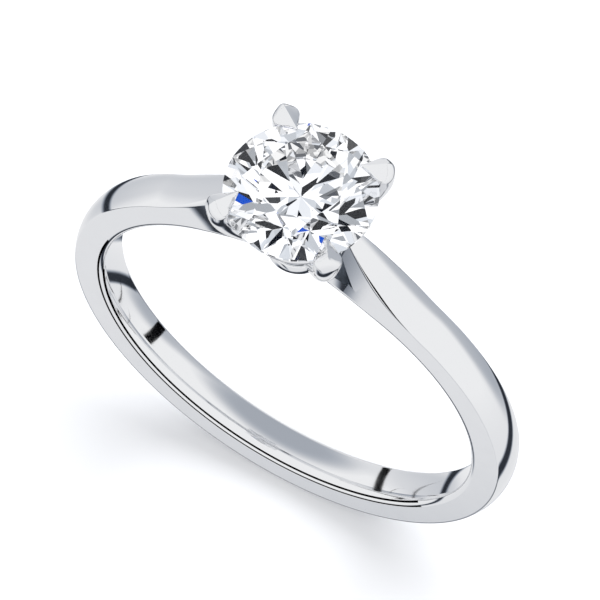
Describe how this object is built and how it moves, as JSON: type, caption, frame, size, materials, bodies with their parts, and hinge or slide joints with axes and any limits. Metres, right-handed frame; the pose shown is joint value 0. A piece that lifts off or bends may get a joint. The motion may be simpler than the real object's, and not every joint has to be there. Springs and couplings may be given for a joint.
{
  "type": "engagement ring",
  "caption": "Finger ring with a round brilliant stone held by claws above V-cut shoulders, on a rounded comfort-fit band.",
  "frame": {"origin": "centre of the finger hole, at mid width of the band", "axes": "+Z from the finger hole to the stone, +Y along the finger, +X from the left shoulder to the right"},
  "size_m": [0.0198, 0.006, 0.0239],
  "materials": {
    "platinum": "mirror polished platinum",
    "diamond": "polished facets, colourless"
  },
  "bodies": {
    "root": {"shank": "platinum", "left_shoulder": "platinum", "right_shoulder": "platinum", "bridge": "platinum", "base_collar": "platinum", "gallery_rail": "platinum", "claw_back_right": "platinum", "claw_back_left": "platinum", "claw_front_left": "platinum", "claw_front_right": "platinum", "diamond": "diamond"}
  },
  "joints": []
}
